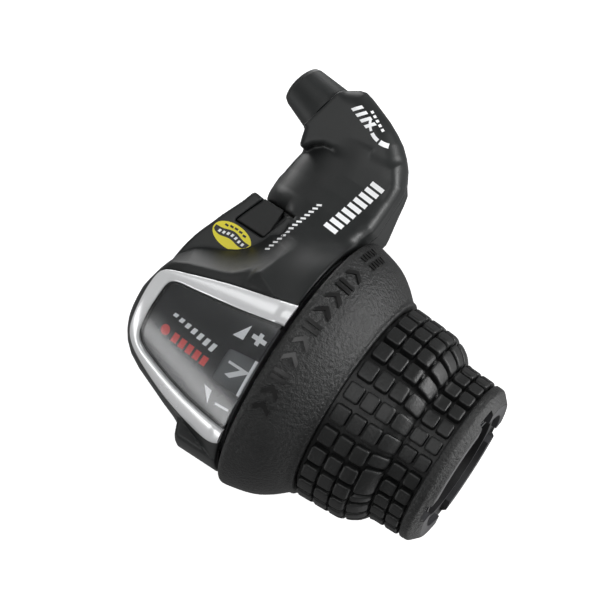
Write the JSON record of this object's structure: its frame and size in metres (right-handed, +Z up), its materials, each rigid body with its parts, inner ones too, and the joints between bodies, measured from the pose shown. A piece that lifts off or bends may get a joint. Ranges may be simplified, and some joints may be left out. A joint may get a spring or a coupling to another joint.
{
  "type": "twist-grip gear shifter",
  "caption": "Right-hand handlebar twist shifter: ribbed rubber grip turning on a clamped bracket, numbered display under a chrome bezel, and a forward cable arm.",
  "frame": {"origin": "on the handlebar's axis, in the plane of the grip's rim", "axes": "+X along the handlebar towards the open end of the grip, +Y forward to the cable arm, +Z up"},
  "size_m": [0.072, 0.0807, 0.0566],
  "materials": {
    "cover_plastic": "satin charcoal",
    "bracket_nylon": "satin black",
    "outlet_plastic": "satin",
    "brass_stop": "turned",
    "liner_plastic": "smooth",
    "bezel_chrome": "polished",
    "lens_clear": "polished smoky",
    "panel_print": "printed",
    "label_print": "printed",
    "spring_steel": "bright",
    "screw_steel": "zinc plated",
    "bolt_steel": "zinc plated",
    "washer_nylon": "smooth",
    "door_plastic": "fine grain",
    "grip_rubber": "fine grain",
    "core_nylon": "satin",
    "drum_acetal": "smooth",
    "ring_metal": "sintered",
    "dial_plastic": "printed"
  },
  "bodies": {
    "root": {"bracket": "bracket_nylon", "upper_cover": "cover_plastic", "lower_cover": "cover_plastic", "cable_outlet": "outlet_plastic", "casing_stop": "brass_stop", "cable_liner": "liner_plastic", "bezel": "bezel_chrome", "lens": "lens_clear", "display_panel": "panel_print", "boss_label": "label_print", "detent_spring": "spring_steel", "spring_screw": "screw_steel", "clamp_bolt": "bolt_steel", "clamp_washer": "bolt_steel", "clamp_nut": "bolt_steel", "cover_screws": "screw_steel", "bezel_screws": "screw_steel", "thrust_washer": "washer_nylon", "end_washer": "washer_nylon", "retaining_ring": "spring_steel"},
    "door": {"cable_door": "door_plastic"},
    "grip": {"grip_rubber": "grip_rubber", "grip_core": "core_nylon", "cable_drum": "drum_acetal", "detent_ring": "ring_metal", "drum_screws": "screw_steel", "number_dial": "dial_plastic"}
  },
  "joints": [
    {"name": "grip_twist", "type": "hinge", "parent": "root", "child": "grip", "pos_m": [0, 0, 0], "axis": [1, 0, 0], "range_deg": [0, 108], "deforming": ["detent_spring"]},
    {"name": "door_lift", "type": "slide", "parent": "root", "child": "door", "axis": [0, 0, 1], "range_m": [0, 0.012]}
  ]
}
